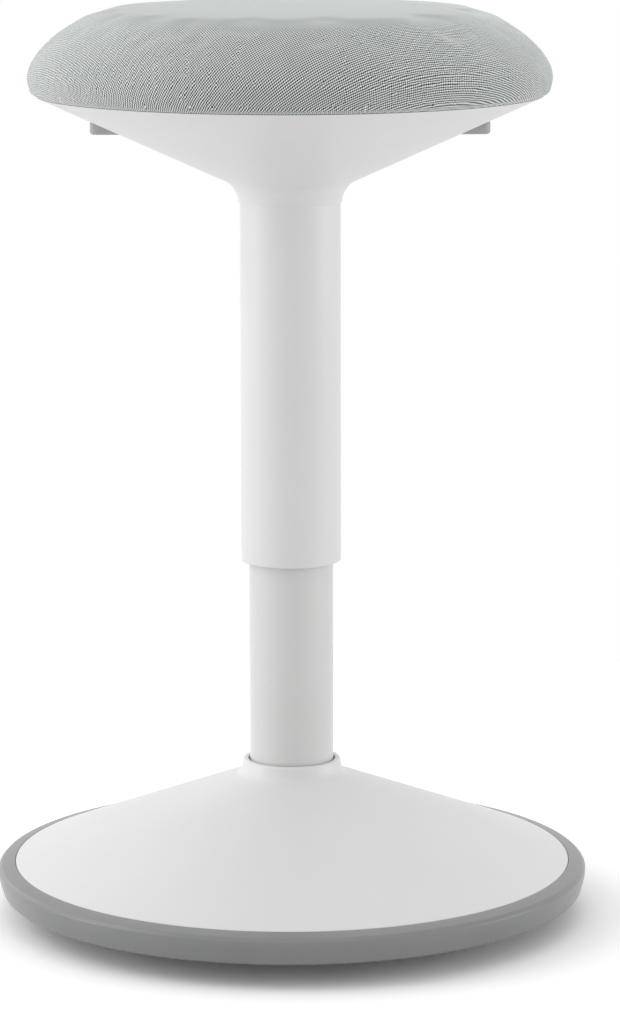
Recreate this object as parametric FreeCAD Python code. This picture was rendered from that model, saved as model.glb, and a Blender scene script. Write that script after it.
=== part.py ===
"""Height-adjustable wobble stool.

A round upholstered seat stands on a telescopic gas column, and the column
stands in a weighted base with a domed underside, so the stool rocks with
the person on it and rights itself.

Frame: millimetres, +Z up, the floor at Z = 0, the origin at the centre of
the floor face of the sole pad, the front of the stool towards -Y and the
release lever at the back, towards +Y.
"""
import FreeCAD, Part
import math
import os

from FreeCAD import Vector

# Fits and gaps
running_gap = 0.05
weld_gap = 0.04
seat_gap = 0.3
slip_gap = 0.25

# How far the seat goes down and up from the height it is drawn at
travel_down = 90.0
travel_up = 110.0

# Base, from the floor up
sole_radius = 50.0
dome_radius = 953.0
sole_pad_margin = 12.0
sole_pad_thickness = 2.5
pan_wall = 3.5
pan_rim_width = 3.0
pan_flange_width = 11.0
pan_flange_lift = 2.36
pan_flange_thickness = 3.4
ring_radius = 177.0
ring_wall = 6.0
ring_top_width = 10.3
ring_top_drop = 1.9
ring_shoulder = 2.0
ring_shoulder_round = 1.3
ring_straight_side = 6.0
ring_side_round = 8.0
ring_side_taper = 2.6
ring_bottom_round = 2.0
cover_edge_rise = 12.5
cover_edge_round = 0.8
cover_slope = 21.2
cover_wall = 3.0
collar_rise = 8.3
collar_gap = 1.0
collar_wall = 3.0
collar_draft = 1.5
collar_fillet = 7.0
collar_round = 1.2
cover_boss_margin = 10.0
cover_boss_radius = 5.0
cover_boss_seat = 1.5
cover_boss_count = 6

# Counterweight and hub in the base
weight_inner_radius = 58.0
weight_boss_gap = 5.0
weight_pan_gap = 2.5
weight_thickness = 12.0
weight_edge = 1.5
weight_post_radius = 8.0
weight_post_count = 4
weight_post_turn = 45.0
hub_screw_margin = 11.0
hub_screw_count = 6
hub_plate_thickness = 4.0
hub_plate_edge = 1.0
hub_sleeve_wall = 6.0
hub_sleeve_lift = 5.0
hub_sleeve_round = 1.0

# Outer column
column_radius = 25.0
column_wall = 2.0
column_pan_gap = 10.0
column_socket_gap = 8.0
column_mouth_round = 0.5
taper_angle = 1.36
column_taper_length = 54.0
column_floor_lift = 1.0
column_floor_thickness = 3.5
column_floor_hole = 5.5
guide_length = 83.0
guide_land = 22.0
guide_relief = 1.0
guide_flange_thickness = 2.5
guide_flange_step = 0.5
guide_flange_round = 0.8

# Thrust bearing at the foot of the rod
washer_radius = 16.0
washer_thickness = 2.0
washer_edge = 0.4
ball_radius = 2.5
ball_circle = 11.5
ball_count = 10
cage_inner_radius = 8.2
cage_outer_radius = 14.8
cage_thickness = 2.2

# Gas spring
rod_radius = 5.0
rod_spigot_radius = 4.0
rod_groove_radius = 3.2
rod_end_length = 2.6
rod_end_round = 0.6
clip_radius = 7.0
clip_thickness = 1.0
clip_mouth = 5.0
foot_washer_radius = 8.5
foot_washer_thickness = 1.2
buffer_radius = 12.0
buffer_height = 12.0
buffer_waist = 2.0
buffer_round = 1.0
buffer_gap = 28.4
piston_gap = 12.0
piston_thickness = 14.0
piston_seal_width = 2.0
piston_seal_depth = 1.5
cylinder_radius = 14.0
cylinder_wall = 1.95
cylinder_plate_gap = 13.2
cylinder_cap = 6.0
cylinder_round = 1.5
cylinder_foot_round = 0.8
gland_length = 18.0
small_edge = 0.5
valve_body_length = 20.0
valve_pin_radius = 3.0
valve_pin_gap = 0.2
valve_pin_tail = 2.0
valve_pin_dome = 6.0

# Upper cover tube
tube_radius = 29.7
tube_wall = 2.4
tube_collar_gap = 30.6
tube_rim_round = 1.5
spigot_step = 1.0
spigot_length = 18.7
glide_ring_length = 10.0
glide_ring_inset = 2.0

# Seat shell
shell_rim_radius = 147.9
shell_rim_height = 491.6
shell_lip = 0.6
shell_slope = 24.5
shell_wall = 3.0
shell_floor_thickness = 5.5
neck_radius = 30.7
neck_length = 8.8
neck_fillet = 13.2
shell_boss_margin = 19.9
shell_boss_radius = 5.0
shell_boss_count = 6
shell_boss_turn = 30.0
scoop_depth = 1.6
scoop_half_width = 11.0
scoop_inset = 9.0
scoop_front_angle = 28.0

# Seat mechanism
plate_half_width = 75.0
plate_thickness = 3.0
plate_corner = 14.0
plate_bolt_inset = 15.0
channel_half_width = 27.0
channel_half_length = 45.0
channel_wall = 3.0
channel_floor_gap = 2.0
socket_radius = 19.0
socket_length = 33.0
socket_round = 1.0
socket_top_gap = 1.0
pivot_offset = 34.0
pivot_drop = 6.2
pivot_pin_radius = 3.0
pivot_pin_overhang = 3.0
pivot_clip_radius = 5.5
pivot_clip_thickness = 1.0

# Lever
lever_boss_gap = 4.0
lever_width = 23.0
lever_thickness = 8.0
lever_shell_drop = 2.3
lever_end_offset = 2.0
lever_round = 1.8
lever_slot_gap = 1.5
lever_end_round = 5.0
tongue_half_width = 15.0
tongue_thickness = 4.0
tongue_length = 34.0
arm_half_width = 8.0
arm_thickness = 4.0
arm_front = -6.0
arm_bend_length = 14.0
arm_paddle_gap = 2.0
arm_eye_radius = 5.0
lever_screw_spacing = 18.0

# Upholstered seat
board_inset = 7.9
board_thickness = 12.0
fabric_thickness = 1.0
hem_width = 14.0
cushion_overhang = 6.4
cushion_widest_height = 8.0
cushion_tuck_radius = 8.5
cushion_side_radius = 22.0
cushion_side_slope = 41.5
cushion_shoulder_height = 39.9
cushion_shoulder_radius = 33.0
cushion_crown_slope = 3.8

# Fasteners
m4_radius = 2.0
m6_radius = 3.0
thread_gap = 0.05
screw_clearance = 0.4
small_head_radius = 4.0
small_head_height = 2.6
bolt_head_radius = 5.5
bolt_head_height = 4.0
drive_depth_share = 0.55
pilot_floor = 2.0
tee_flange_radius = 9.0
tee_flange_thickness = 1.5
tee_barrel_radius = 4.4
tee_barrel_lift = 2.0

# How far a cutting shape runs past what it cuts, and a length past the whole stool
past = 1.0
UP = Vector(0, 0, 1)


def tan(degrees):
    return math.tan(math.radians(degrees))


def sin(degrees):
    return math.sin(math.radians(degrees))


def cos(degrees):
    return math.cos(math.radians(degrees))


# Base sizes that follow from those above
def dome_height(radius):
    """Height of the domed underside above the floor."""
    centre = math.sqrt(dome_radius ** 2 - sole_radius ** 2)
    return centre - math.sqrt(dome_radius ** 2 - radius ** 2)


sole_pad_radius = sole_radius + sole_pad_margin
pan_flange_radius = ring_radius - ring_wall
pan_radius = pan_flange_radius - pan_flange_width
pan_flange_height = dome_height(pan_flange_radius) + pan_flange_lift
pan_flange_top = pan_flange_height + pan_flange_thickness
pan_floor_top = sole_pad_thickness + pan_wall
cover_edge_radius = ring_radius - ring_top_width
cover_edge_height = pan_flange_top + cover_edge_rise
cover_wall_rise = cover_wall / math.cos(math.radians(cover_slope))
cover_boss_circle = pan_radius - cover_boss_margin
weight_outer_radius = cover_boss_circle - cover_boss_radius - weight_boss_gap
weight_post_circle = (weight_inner_radius + weight_outer_radius) / 2
weight_bottom = dome_height(weight_outer_radius) + pan_wall + weight_pan_gap
weight_top = weight_bottom + weight_thickness
hub_screw_circle = weight_inner_radius + hub_screw_margin
hub_plate_radius = hub_screw_circle + hub_screw_margin
hub_plate_top = weight_top + hub_plate_thickness
hub_sleeve_radius = column_radius + hub_sleeve_wall


def cover_height(radius):
    """Height of the base cover's outer cone."""
    return cover_edge_height + (cover_edge_radius - radius) * tan(cover_slope)


weight_pilot_end = dome_height(weight_post_circle) + pilot_floor
cover_screw_tip = cover_height(cover_boss_circle) - cover_wall_rise - pilot_floor
collar_bore = column_radius + collar_gap
collar_outer = collar_bore + collar_wall
collar_foot = collar_outer + collar_draft
collar_height = cover_height(collar_foot) + collar_rise


# Seat heights, which hang from the rim of the shell
def shell_height(radius):
    """Height of the seat shell's outer cone."""
    edge = shell_rim_height - shell_lip
    return edge - (shell_rim_radius - radius) * tan(shell_slope)


shell_wall_rise = shell_wall / math.cos(math.radians(shell_slope))
neck_bottom = shell_height(neck_radius) - neck_length
spigot_radius = tube_radius - spigot_step
spigot_top = neck_bottom + spigot_length
shell_floor_height = spigot_top + shell_floor_thickness
shell_boss_circle = shell_rim_radius - shell_boss_margin
shell_screw_tip = shell_height(shell_boss_circle) + pilot_floor + past
seam_height = shell_rim_height + seat_gap
board_radius = shell_rim_radius - board_inset
board_bottom = seam_height + fabric_thickness + seat_gap
board_top = board_bottom + board_thickness
plate_bottom = board_bottom - plate_thickness
plate_bolt_offset = plate_half_width - plate_bolt_inset
channel_bottom = shell_floor_height + channel_floor_gap
cylinder_top = plate_bottom - cylinder_plate_gap
cylinder_cap_bottom = cylinder_top - cylinder_cap
socket_top = cylinder_top - socket_top_gap
socket_bottom = socket_top - socket_length
pivot_height = plate_bottom - pivot_drop
arm_bottom = pivot_height - arm_thickness / 2
lever_radius = shell_boss_circle - shell_boss_radius - lever_boss_gap
lever_inner_radius = lever_radius - lever_width
lever_top = shell_height(lever_radius) - lever_shell_drop
lever_bottom = lever_top - lever_thickness
scoop_middle_radius = lever_radius - scoop_inset
tongue_front = lever_inner_radius - tongue_length
tongue_bottom = lever_top - tongue_thickness
arm_back = lever_inner_radius - arm_paddle_gap
arm_bend_start = tongue_front - arm_bend_length
cushion_radius = shell_rim_radius + cushion_overhang

# Column heights, from the pan up and from the mechanism down
column_bottom = pan_floor_top + column_pan_gap
column_top = socket_bottom - travel_down - column_socket_gap
column_taper_top = column_bottom + column_taper_length
column_floor_bottom = column_bottom + column_floor_lift
column_floor_top = column_floor_bottom + column_floor_thickness
hub_sleeve_bottom = column_bottom + hub_sleeve_lift
lower_washer_top = column_floor_top + washer_thickness
ball_height = lower_washer_top + running_gap + ball_radius
upper_washer_bottom = ball_height + ball_radius + running_gap
rod_shoulder = upper_washer_bottom + washer_thickness
buffer_top = rod_shoulder + buffer_height
guide_bottom = column_top - guide_length
cylinder_bottom = buffer_top + travel_down + buffer_gap
cylinder_bore = cylinder_radius - cylinder_wall
gland_top = cylinder_bottom + gland_length
rod_top = gland_top + travel_up + piston_gap
clip_top = column_floor_bottom - foot_washer_thickness - running_gap
tube_bottom = collar_height + travel_down + tube_collar_gap
tube_bore = tube_radius - tube_wall


def column_outside(height):
    """Outer radius of the column, which narrows towards its foot."""
    return column_radius - max(column_taper_top - height, 0.0) * tan(taper_angle)


def cylinder_outside(height):
    """Outer radius of the gas cylinder, which narrows towards its top."""
    return cylinder_radius - max(height - socket_bottom, 0.0) * tan(taper_angle)


# Shapes
def outline(corners):
    """Closed wire in the XZ plane. A corner's third number rounds it."""
    stops = []
    for index, corner in enumerate(corners):
        here = Vector(corner[0], 0, corner[1])
        if len(corner) == 2 or corner[2] <= 0:
            stops.append((here, None, here))
            continue
        before = corners[index - 1]
        after = corners[(index + 1) % len(corners)]
        back = Vector(before[0], 0, before[1]).sub(here).normalize()
        ahead = Vector(after[0], 0, after[1]).sub(here).normalize()
        half = back.getAngle(ahead) / 2
        inward = back.add(ahead).normalize()
        reach = corner[2] / math.tan(half)
        middle = here.add(inward * (corner[2] / math.sin(half) - corner[2]))
        stops.append((here.add(back * reach), middle, here.add(ahead * reach)))
    edges = []
    for index, (entry, middle, leave) in enumerate(stops):
        last = stops[index - 1][2]
        if last.distanceToPoint(entry) > 1e-6:
            edges.append(Part.makeLine(last, entry))
        if middle is not None:
            edges.append(Part.Arc(entry, middle, leave).toShape())
    return Part.Wire(edges)


def turned(corners):
    """Solid of revolution about Z of an outline given as (radius, height)."""
    return Part.Face(outline(corners)).revolve(Vector(0, 0, 0), UP, 360)


def ring(inner, outer, bottom, top, edge=0.0):
    """Round ring with slightly rounded outer edges."""
    corners = [(inner, bottom), (outer, bottom, edge), (outer, top, edge), (inner, top)]
    return turned(corners)


def rod(radius, start, end, x=0.0, y=0.0):
    """Upright cylinder between two heights."""
    return Part.makeCylinder(radius, end - start, Vector(x, y, start))


def block(low, high):
    """Box between two corners."""
    size = Vector(*high).sub(Vector(*low))
    return Part.makeBox(size.x, size.y, size.z, Vector(*low))


def spots(count, circle, first=0.0):
    """Evenly spaced places on a circle, as (x, y)."""
    angles = [first + 360.0 * index / count for index in range(count)]
    return [(circle * cos(angle), circle * sin(angle)) for angle in angles]


def corners_of_square(offset):
    """The four places of a square pattern."""
    return [(x, y) for x in (-offset, offset) for y in (-offset, offset)]


def hexagon(across, bottom, top, x, y):
    """Hexagonal prism, for heads and drive sockets."""
    points = [Vector(x + px, y + py, bottom) for px, py in spots(6, across / math.sqrt(3))]
    face = Part.Face(Part.makePolygon(points + points[:1]))
    return face.extrude(UP * (top - bottom))


def screw_up(x, y, head_bottom, tip, shank, head, height):
    """Screw driven upwards from below, with a hexagon socket in its head."""
    body = rod(head, head_bottom, head_bottom + height, x, y)
    body = body.fuse(rod(shank, head_bottom + height, tip, x, y))
    depth = height * drive_depth_share
    socket = hexagon(head, head_bottom - past, head_bottom + depth, x, y)
    return body.cut(socket).removeSplitter()


def screw_down(x, y, head_top, tip, shank, head, height):
    """Screw driven downwards from above, with a hexagon socket in its head."""
    body = rod(head, head_top - height, head_top, x, y)
    body = body.fuse(rod(shank, tip, head_top - height, x, y))
    depth = height * drive_depth_share
    socket = hexagon(head, head_top - depth, head_top + past, x, y)
    return body.cut(socket).removeSplitter()


def export(node, solids):
    """Write one node; like pieces share a node as separate solids."""
    shape = solids if isinstance(solids, Part.Shape) else Part.makeCompound(solids)
    bad = [solid for solid in shape.Solids if not solid.isValid() or solid.Volume <= 0]
    print(node, len(shape.Solids), "solids", round(shape.Volume / 1000, 2), "cm3", "BAD" if bad else "")
    shape.exportStep(os.path.join("parts", node + ".step"))


# Base
def sole_pad():
    edge = dome_height(sole_pad_radius)
    return turned([(0, 0), (sole_radius, 0), (sole_pad_radius, edge), (sole_pad_radius, sole_pad_thickness),
                   (0, sole_pad_thickness)])


def dome_band(inner, outer, top):
    """Ring whose underside follows the dome and whose top is flat."""
    middle = (inner + outer) / 2
    low = Vector(inner, 0, dome_height(inner))
    bend = Vector(middle, 0, dome_height(middle))
    high = Vector(outer, 0, dome_height(outer))
    above_outer = Vector(outer, 0, top)
    above_inner = Vector(inner, 0, top)
    edges = [Part.Arc(low, bend, high).toShape(), Part.makeLine(high, above_outer),
             Part.makeLine(above_outer, above_inner), Part.makeLine(above_inner, low)]
    return Part.Face(Part.Wire(edges)).revolve(Vector(0, 0, 0), UP, 360)


def base_pan():
    recess = sole_pad_radius + slip_gap
    inner_wall = pan_radius - pan_rim_width
    pan = dome_band(recess, pan_radius, pan_flange_top).fuse(rod(recess, sole_pad_thickness, pan_flange_top))
    pan = pan.fuse(ring(inner_wall, pan_flange_radius, pan_flange_height, pan_flange_top))
    hollow = dome_band(recess, inner_wall, pan_flange_top + past)
    hollow.translate(UP * pan_wall)
    pan = pan.cut(hollow).cut(rod(recess + weld_gap, pan_floor_top, pan_flange_top + past))
    posts = spots(weight_post_count, weight_post_circle, weight_post_turn)
    bosses = spots(cover_boss_count, cover_boss_circle)
    for x, y in posts:
        pan = pan.fuse(rod(weight_post_radius, pan_floor_top, weight_bottom, x, y))
    for x, y in bosses:
        low = dome_height(cover_boss_circle) + past
        pan = pan.fuse(rod(cover_boss_radius + cover_boss_seat, low, pan_flange_top, x, y))
    for x, y in posts:
        pan = pan.cut(rod(m6_radius + thread_gap, weight_pilot_end, weight_bottom + past, x, y))
    for x, y in bosses:
        pan = pan.cut(rod(m4_radius + screw_clearance, 0, pan_flange_top + past, x, y))
        pan = pan.cut(rod(small_head_radius + screw_clearance, 0, pan_flange_height, x, y))
    return pan.removeSplitter()


def rim_ring():
    top = cover_edge_height
    corner = top - ring_top_drop
    inner = cover_edge_radius + slip_gap
    groove_bottom = pan_flange_height - slip_gap
    groove_top = pan_flange_top + slip_gap
    groove = pan_flange_radius + slip_gap
    foot = pan_radius + slip_gap
    side_foot = ring_radius - ring_side_taper
    corners = [(inner, top), (ring_radius - ring_shoulder, corner, ring_shoulder_round),
               (ring_radius, corner - ring_shoulder, ring_shoulder_round),
               (ring_radius, corner - ring_straight_side, ring_side_round),
               (side_foot, dome_height(side_foot), ring_bottom_round),
               (foot, dome_height(foot)), (foot, groove_bottom), (groove, groove_bottom),
               (groove, groove_top), (inner, groove_top)]
    return turned(corners)


def base_cover():
    inner_edge = cover_edge_radius - cover_wall
    inner_top = cover_height(collar_outer) - cover_wall_rise
    corners = [(collar_bore, collar_height, collar_round / 2), (collar_outer, collar_height, collar_round),
               (collar_foot, cover_height(collar_foot), collar_fillet),
               (cover_edge_radius, cover_edge_height, cover_edge_round), (cover_edge_radius, pan_flange_top),
               (inner_edge, pan_flange_top), (inner_edge, cover_height(inner_edge) - cover_wall_rise),
               (collar_outer, inner_top), (collar_bore, inner_top)]
    cover = turned(corners)
    places = spots(cover_boss_count, cover_boss_circle)
    for x, y in places:
        boss_top = cover_height(cover_boss_circle) - cover_wall_rise + past
        cover = cover.fuse(rod(cover_boss_radius, pan_flange_top, boss_top, x, y))
    for x, y in places:
        cover = cover.cut(rod(m4_radius + thread_gap, pan_flange_top - past, cover_screw_tip + past, x, y))
    return cover.removeSplitter()


def cover_screws():
    head_bottom = pan_flange_height - small_head_height
    return [screw_up(x, y, head_bottom, cover_screw_tip, m4_radius, small_head_radius, small_head_height)
            for x, y in spots(cover_boss_count, cover_boss_circle)]


def counterweight():
    disc = ring(weight_inner_radius, weight_outer_radius, weight_bottom, weight_top, weight_edge)
    for x, y in spots(weight_post_count, weight_post_circle, weight_post_turn):
        disc = disc.cut(rod(m6_radius + screw_clearance, weight_bottom - past, weight_top + past, x, y))
    for x, y in spots(hub_screw_count, hub_screw_circle):
        disc = disc.cut(rod(m6_radius + thread_gap, weight_bottom - past, weight_top + past, x, y))
    return disc


def weight_screws():
    head_top = weight_top + bolt_head_height
    tip = weight_pilot_end + past
    return [screw_down(x, y, head_top, tip, m6_radius, bolt_head_radius, bolt_head_height)
            for x, y in spots(weight_post_count, weight_post_circle, weight_post_turn)]


def hub_plate():
    plate = ring(hub_sleeve_radius + weld_gap, hub_plate_radius, weight_top, hub_plate_top, hub_plate_edge)
    for x, y in spots(hub_screw_count, hub_screw_circle):
        plate = plate.cut(rod(m6_radius + screw_clearance, weight_top - past, hub_plate_top + past, x, y))
    return plate


def hub_screws():
    head_top = hub_plate_top + bolt_head_height
    return [screw_down(x, y, head_top, weight_bottom + past, m6_radius, bolt_head_radius, bolt_head_height)
            for x, y in spots(hub_screw_count, hub_screw_circle)]


def hub_sleeve():
    low = column_outside(hub_sleeve_bottom) + weld_gap
    high = column_outside(column_taper_top) + weld_gap
    return turned([(low, hub_sleeve_bottom), (hub_sleeve_radius, hub_sleeve_bottom, hub_sleeve_round),
                   (hub_sleeve_radius, column_taper_top, 2 * hub_sleeve_round), (high, column_taper_top)])


# Column and gas spring
def column_tube():
    foot = column_outside(column_bottom)
    inner = column_radius - column_wall
    return turned([(foot - column_wall, column_bottom), (foot, column_bottom), (column_radius, column_taper_top),
                   (column_radius, column_top, column_mouth_round), (inner, column_top), (inner, column_taper_top)])


def column_floor():
    outer = column_outside(column_floor_bottom) - column_wall - weld_gap
    return ring(column_floor_hole, outer, column_floor_bottom, column_floor_top)


def guide_bush():
    outer = column_radius - column_wall - weld_gap
    inner = cylinder_radius + running_gap
    relief = inner + guide_relief
    upper_land = column_top - guide_land
    lower_land = guide_bottom + guide_land
    flange = column_radius - guide_flange_step
    top = column_top + guide_flange_thickness
    return turned([(inner, guide_bottom), (outer, guide_bottom, small_edge), (outer, column_top),
                   (flange, column_top), (flange, top, guide_flange_round), (inner, top), (inner, upper_land),
                   (relief, upper_land - guide_relief), (relief, lower_land + guide_relief), (inner, lower_land)])


def lower_washer():
    return ring(column_floor_hole, washer_radius, column_floor_top, lower_washer_top, washer_edge)


def ball_cage():
    half = cage_thickness / 2
    cage = ring(cage_inner_radius, cage_outer_radius, ball_height - half, ball_height + half)
    for x, y in spots(ball_count, ball_circle):
        cage = cage.cut(rod(ball_radius + running_gap, lower_washer_top, rod_shoulder, x, y))
    return cage


def bearing_balls():
    return [Part.makeSphere(ball_radius, Vector(x, y, ball_height)) for x, y in spots(ball_count, ball_circle)]


def upper_washer():
    inner = rod_spigot_radius + weld_gap
    return ring(inner, washer_radius, upper_washer_bottom, rod_shoulder, washer_edge)


def piston_rod():
    groove_bottom = clip_top - clip_thickness - weld_gap
    end = groove_bottom - rod_end_length
    rod_end = rod_top + piston_thickness
    return turned([(0, end), (rod_spigot_radius, end, rod_end_round), (rod_spigot_radius, groove_bottom),
                   (rod_groove_radius, groove_bottom), (rod_groove_radius, clip_top),
                   (rod_spigot_radius, clip_top), (rod_spigot_radius, rod_shoulder), (rod_radius, rod_shoulder),
                   (rod_radius, rod_top), (rod_spigot_radius, rod_top), (rod_spigot_radius, rod_end),
                   (0, rod_end)])


def rod_clip():
    top = clip_top - weld_gap / 2
    clip = ring(rod_groove_radius + weld_gap, clip_radius, top - clip_thickness, top)
    mouth = block((0, -clip_mouth / 2, pan_floor_top), (clip_radius + past, clip_mouth / 2, clip_top))
    return clip.cut(mouth)


def foot_washer():
    return ring(rod_spigot_radius + running_gap, foot_washer_radius, clip_top, column_floor_bottom - running_gap)


def bump_buffer():
    inner = rod_radius + slip_gap
    middle = (rod_shoulder + buffer_top) / 2
    return turned([(inner, rod_shoulder), (buffer_radius, rod_shoulder, buffer_round),
                   (buffer_radius - buffer_waist, middle, 2 * buffer_round),
                   (buffer_radius, buffer_top, buffer_round), (inner, buffer_top)])


def piston():
    outer = cylinder_bore - running_gap
    end = rod_top + piston_thickness
    middle = (rod_top + end) / 2
    low, high = middle - piston_seal_width / 2, middle + piston_seal_width / 2
    groove = outer - piston_seal_depth
    inner = rod_spigot_radius + weld_gap
    return turned([(inner, rod_top), (outer, rod_top, small_edge), (outer, low), (groove, low), (groove, high),
                   (outer, high), (outer, end, small_edge), (inner, end)])


def piston_seal():
    outer = cylinder_bore - running_gap
    middle = rod_top + piston_thickness / 2
    half = piston_seal_width / 2 - weld_gap
    return ring(outer - piston_seal_depth + weld_gap, outer, middle - half, middle + half)


def gas_cylinder():
    tip = cylinder_outside(cylinder_top)
    cap_bore = cylinder_outside(cylinder_cap_bottom) - cylinder_wall
    pin_hole = valve_pin_radius + running_gap
    return turned([(cylinder_bore, cylinder_bottom), (cylinder_radius, cylinder_bottom, cylinder_foot_round),
                   (cylinder_radius, socket_bottom), (tip, cylinder_top, cylinder_round), (pin_hole, cylinder_top),
                   (pin_hole, cylinder_cap_bottom), (cap_bore, cylinder_cap_bottom),
                   (cylinder_radius - cylinder_wall, socket_bottom)])


def rod_gland():
    inner = rod_radius + running_gap
    outer = cylinder_bore - weld_gap
    return turned([(inner, cylinder_bottom), (outer, cylinder_bottom), (outer, gland_top, small_edge),
                   (inner, gland_top)])


def valve_body():
    bottom = cylinder_cap_bottom - valve_body_length
    outer = cylinder_outside(cylinder_cap_bottom) - cylinder_wall - running_gap
    return ring(valve_pin_radius + running_gap, outer, bottom, cylinder_cap_bottom, small_edge)


def valve_pin():
    bottom = cylinder_cap_bottom - valve_body_length - valve_pin_tail
    top = arm_bottom - valve_pin_gap
    drop = valve_pin_dome - math.sqrt(valve_pin_dome ** 2 - valve_pin_radius ** 2)
    pin = rod(valve_pin_radius, bottom, top)
    dome = Part.makeSphere(valve_pin_dome, Vector(0, 0, top - valve_pin_dome))
    return pin.common(dome.fuse(rod(valve_pin_dome, bottom, top - drop))).removeSplitter()


# Upper tube and shell
def cover_tube():
    seat = neck_bottom - weld_gap
    return turned([(tube_bore, tube_bottom, small_edge), (tube_radius, tube_bottom, tube_rim_round),
                   (tube_radius, seat), (spigot_radius, seat), (spigot_radius, spigot_top, small_edge),
                   (tube_bore, spigot_top)])


def glide_ring():
    bottom = tube_bottom + glide_ring_inset
    return ring(column_radius + slip_gap, tube_bore - weld_gap, bottom, bottom + glide_ring_length)


def finger_scoop():
    """Tilted torus that dents the cone at its sides and leaves it near the front."""
    tube = (scoop_half_width ** 2 + scoop_depth ** 2) / (2 * scoop_depth)
    reach = tube - scoop_depth
    radius = scoop_middle_radius + reach * sin(shell_slope)
    height = shell_height(scoop_middle_radius) - reach * cos(shell_slope)
    drop = scoop_depth / cos(shell_slope) / cos(scoop_front_angle)
    tilt = math.degrees(math.atan2(drop, radius))
    return Part.makeTorus(radius, tube, Vector(0, 0, height), Vector(0, -sin(tilt), cos(tilt)))


def shell_outside():
    corner = shell_height(neck_radius)
    half = 45 + shell_slope / 2
    fillet = min(neck_fillet, (corner - neck_bottom - weld_gap) * tan(half))
    return turned([(0, neck_bottom), (neck_radius, neck_bottom), (neck_radius, corner, fillet),
                   (shell_rim_radius, shell_rim_height - shell_lip), (shell_rim_radius, shell_rim_height),
                   (0, shell_rim_height)])


def shell_hollow():
    """Space inside the shell above its thick floor."""
    above = shell_rim_height + past
    edge = shell_height(shell_rim_radius) + shell_wall_rise
    top_radius = shell_rim_radius + (above - edge) / tan(shell_slope)
    low_radius = shell_rim_radius + (shell_floor_height - edge) / tan(shell_slope)
    return turned([(0, shell_floor_height), (low_radius, shell_floor_height), (top_radius, above), (0, above)])


def seat_shell():
    shell = shell_outside().cut(shell_hollow())
    places = spots(shell_boss_count, shell_boss_circle, shell_boss_turn)
    for x, y in places:
        foot = shell_height(shell_boss_circle) + shell_wall_rise - past
        shell = shell.fuse(rod(shell_boss_radius, foot, board_bottom, x, y))
    front = before_lever(lever_end_offset - lever_slot_gap)
    shell = shell.cut(finger_scoop().common(front))
    slot = ring(lever_inner_radius - lever_slot_gap, lever_radius + lever_slot_gap, neck_bottom, plate_bottom)
    shell = shell.cut(slot.cut(front))
    shell = shell.cut(rod(spigot_radius + running_gap, neck_bottom - past, spigot_top + slip_gap))
    shell = shell.cut(rod(tube_bore, neck_bottom, shell_floor_height + past))
    for x, y in places:
        shell = shell.cut(rod(m4_radius + thread_gap, shell_screw_tip - past, board_bottom + past, x, y))
    return shell.removeSplitter()


def before_lever(back):
    """Everything in front of the lever's ends."""
    reach = shell_rim_radius + past
    return block((-reach, -reach, neck_bottom - past), (reach, back, shell_rim_height + past))


def shell_screws():
    return [screw_down(x, y, board_top, shell_screw_tip, m4_radius, small_head_radius, small_head_height)
            for x, y in spots(shell_boss_count, shell_boss_circle, shell_boss_turn)]


# Mechanism
def mechanism_plate():
    wide = plate_half_width
    plate = block((-wide, -wide, plate_bottom), (wide, wide, board_bottom))
    upright = [edge for edge in plate.Edges if edge.BoundBox.ZLength > plate_thickness / 2]
    plate = plate.makeFillet(plate_corner, upright)
    for x, y in corners_of_square(plate_bolt_offset):
        plate = plate.cut(rod(m6_radius + screw_clearance, plate_bottom - past, board_top, x, y))
    return plate


def cross_rod(radius, half_length):
    """Level cylinder along X on the lever's pivot."""
    start = Vector(-half_length, pivot_offset, pivot_height)
    return Part.makeCylinder(radius, 2 * half_length, start, Vector(1, 0, 0))


def mechanism_channel():
    wide, long = channel_half_width, channel_half_length
    inner = wide - channel_wall
    channel = block((-wide, -long, channel_bottom), (wide, long, plate_bottom))
    trough = block((-inner, -long - past, channel_bottom + channel_wall), (inner, long + past, plate_bottom + past))
    channel = channel.cut(trough).cut(rod(socket_radius + weld_gap, channel_bottom - past, plate_bottom))
    return channel.cut(cross_rod(pivot_pin_radius + weld_gap, wide + past))


def taper_socket():
    low = cylinder_outside(socket_bottom) + weld_gap
    high = cylinder_outside(socket_top) + weld_gap
    return turned([(low, socket_bottom), (socket_radius, socket_bottom, socket_round),
                   (socket_radius, socket_top, socket_round), (high, socket_top)])


def pivot_pin():
    return cross_rod(pivot_pin_radius, channel_half_width + pivot_pin_overhang)


def pivot_clips():
    clips = []
    for side in (-1, 1):
        start = Vector(side * (channel_half_width + weld_gap), pivot_offset, pivot_height)
        disc = Part.makeCylinder(pivot_clip_radius, pivot_clip_thickness, start, Vector(side, 0, 0))
        hole = Part.makeCylinder(pivot_pin_radius + weld_gap, pivot_clip_thickness, start, Vector(side, 0, 0))
        clips.append(disc.cut(hole))
    return clips


def plate_bolts():
    head_bottom = plate_bottom - bolt_head_height
    tip = board_top - tee_flange_thickness
    return [screw_up(x, y, head_bottom, tip, m6_radius, bolt_head_radius, bolt_head_height)
            for x, y in corners_of_square(plate_bolt_offset)]


def tee_nuts():
    nuts = []
    for x, y in corners_of_square(plate_bolt_offset):
        nut = rod(tee_barrel_radius, board_bottom + tee_barrel_lift, board_top, x, y)
        nut = nut.fuse(rod(tee_flange_radius, board_top - tee_flange_thickness, board_top, x, y))
        nuts.append(nut.cut(rod(m6_radius + thread_gap, board_bottom, board_top + past, x, y)).removeSplitter())
    return nuts


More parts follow.
